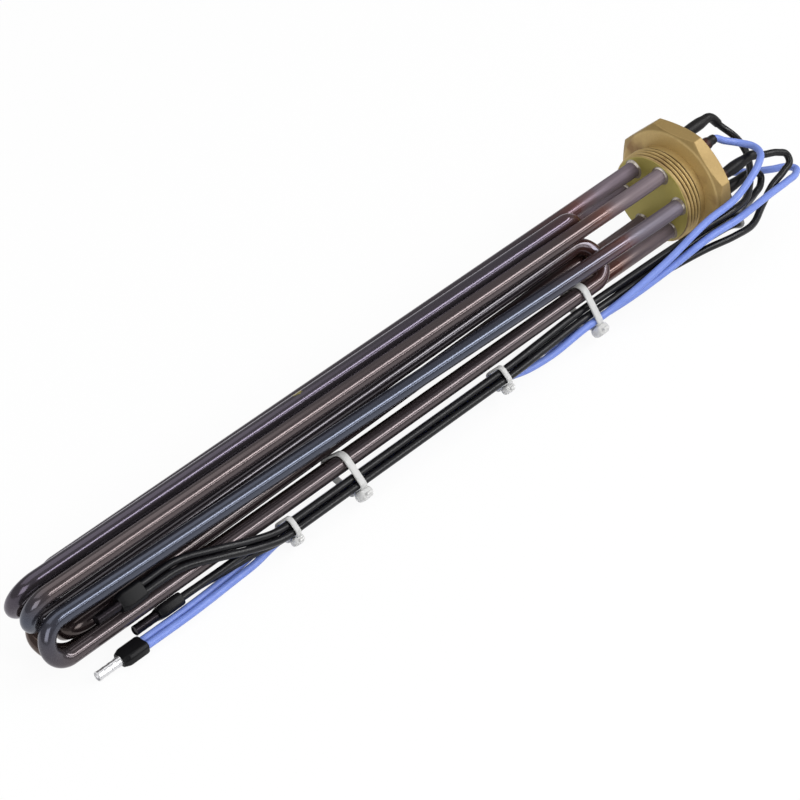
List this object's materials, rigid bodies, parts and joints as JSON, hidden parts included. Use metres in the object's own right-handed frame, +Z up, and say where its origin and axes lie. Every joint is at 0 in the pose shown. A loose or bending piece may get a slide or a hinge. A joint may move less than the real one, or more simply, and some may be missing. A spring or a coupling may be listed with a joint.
{
  "type": "screw plug immersion heater",
  "caption": "Screw-in immersion heater: brass octagon plug with a pipe thread, folded tubular elements on one side and tied-back insulated leads on the other.",
  "frame": {"origin": "on the plug's axis, in the head's seating face", "axes": "+X along the plug's axis towards the leads, so the tubes reach towards -X; +Z up, square to one flat of the head"},
  "size_m": [0.5025, 0.071, 0.062],
  "materials": {
    "brass": "turned, dull, a little tarnished",
    "braze": "matte silver braze",
    "tube_oxide": "heat-tinted, semi-gloss oxide",
    "magnesia": "packed powder",
    "coil_wire": "drawn resistance wire",
    "terminal_steel": "plain steel",
    "seal_ceramic": "matte bead",
    "sleeve_black": "matte sleeve",
    "lead_black": "satin insulation",
    "lead_blue": "satin insulation",
    "collar_black": "moulded",
    "ferrule_tin": "tinned, crimped",
    "tie_nylon": "natural translucent nylon"
  },
  "bodies": {
    "root": {"screw_plug": "brass", "braze_rings": "braze", "element_sheath_1": "tube_oxide", "element_sheath_2": "tube_oxide", "element_sheath_3": "tube_oxide", "magnesia_fill_1": "magnesia", "magnesia_fill_2": "magnesia", "magnesia_fill_3": "magnesia", "resistance_coil_1": "coil_wire", "resistance_coil_2": "coil_wire", "resistance_coil_3": "coil_wire", "terminal_pins": "terminal_steel", "end_seals": "seal_ceramic", "crimp_barrels": "terminal_steel", "terminal_sleeves": "sleeve_black", "lead_black_1": "lead_black", "lead_black_2": "lead_black", "lead_black_3": "lead_black", "lead_black_4": "lead_black", "lead_blue_1": "lead_blue", "lead_blue_2": "lead_blue", "ferrule_collar_1": "collar_black", "ferrule_collar_2": "collar_black", "ferrule_collar_3": "collar_black", "ferrule_tube_1": "ferrule_tin", "ferrule_tube_2": "ferrule_tin", "ferrule_tube_3": "ferrule_tin", "cable_tie_1": "tie_nylon", "cable_tie_2": "tie_nylon", "cable_tie_3": "tie_nylon", "cable_tie_4": "tie_nylon"}
  },
  "joints": []
}
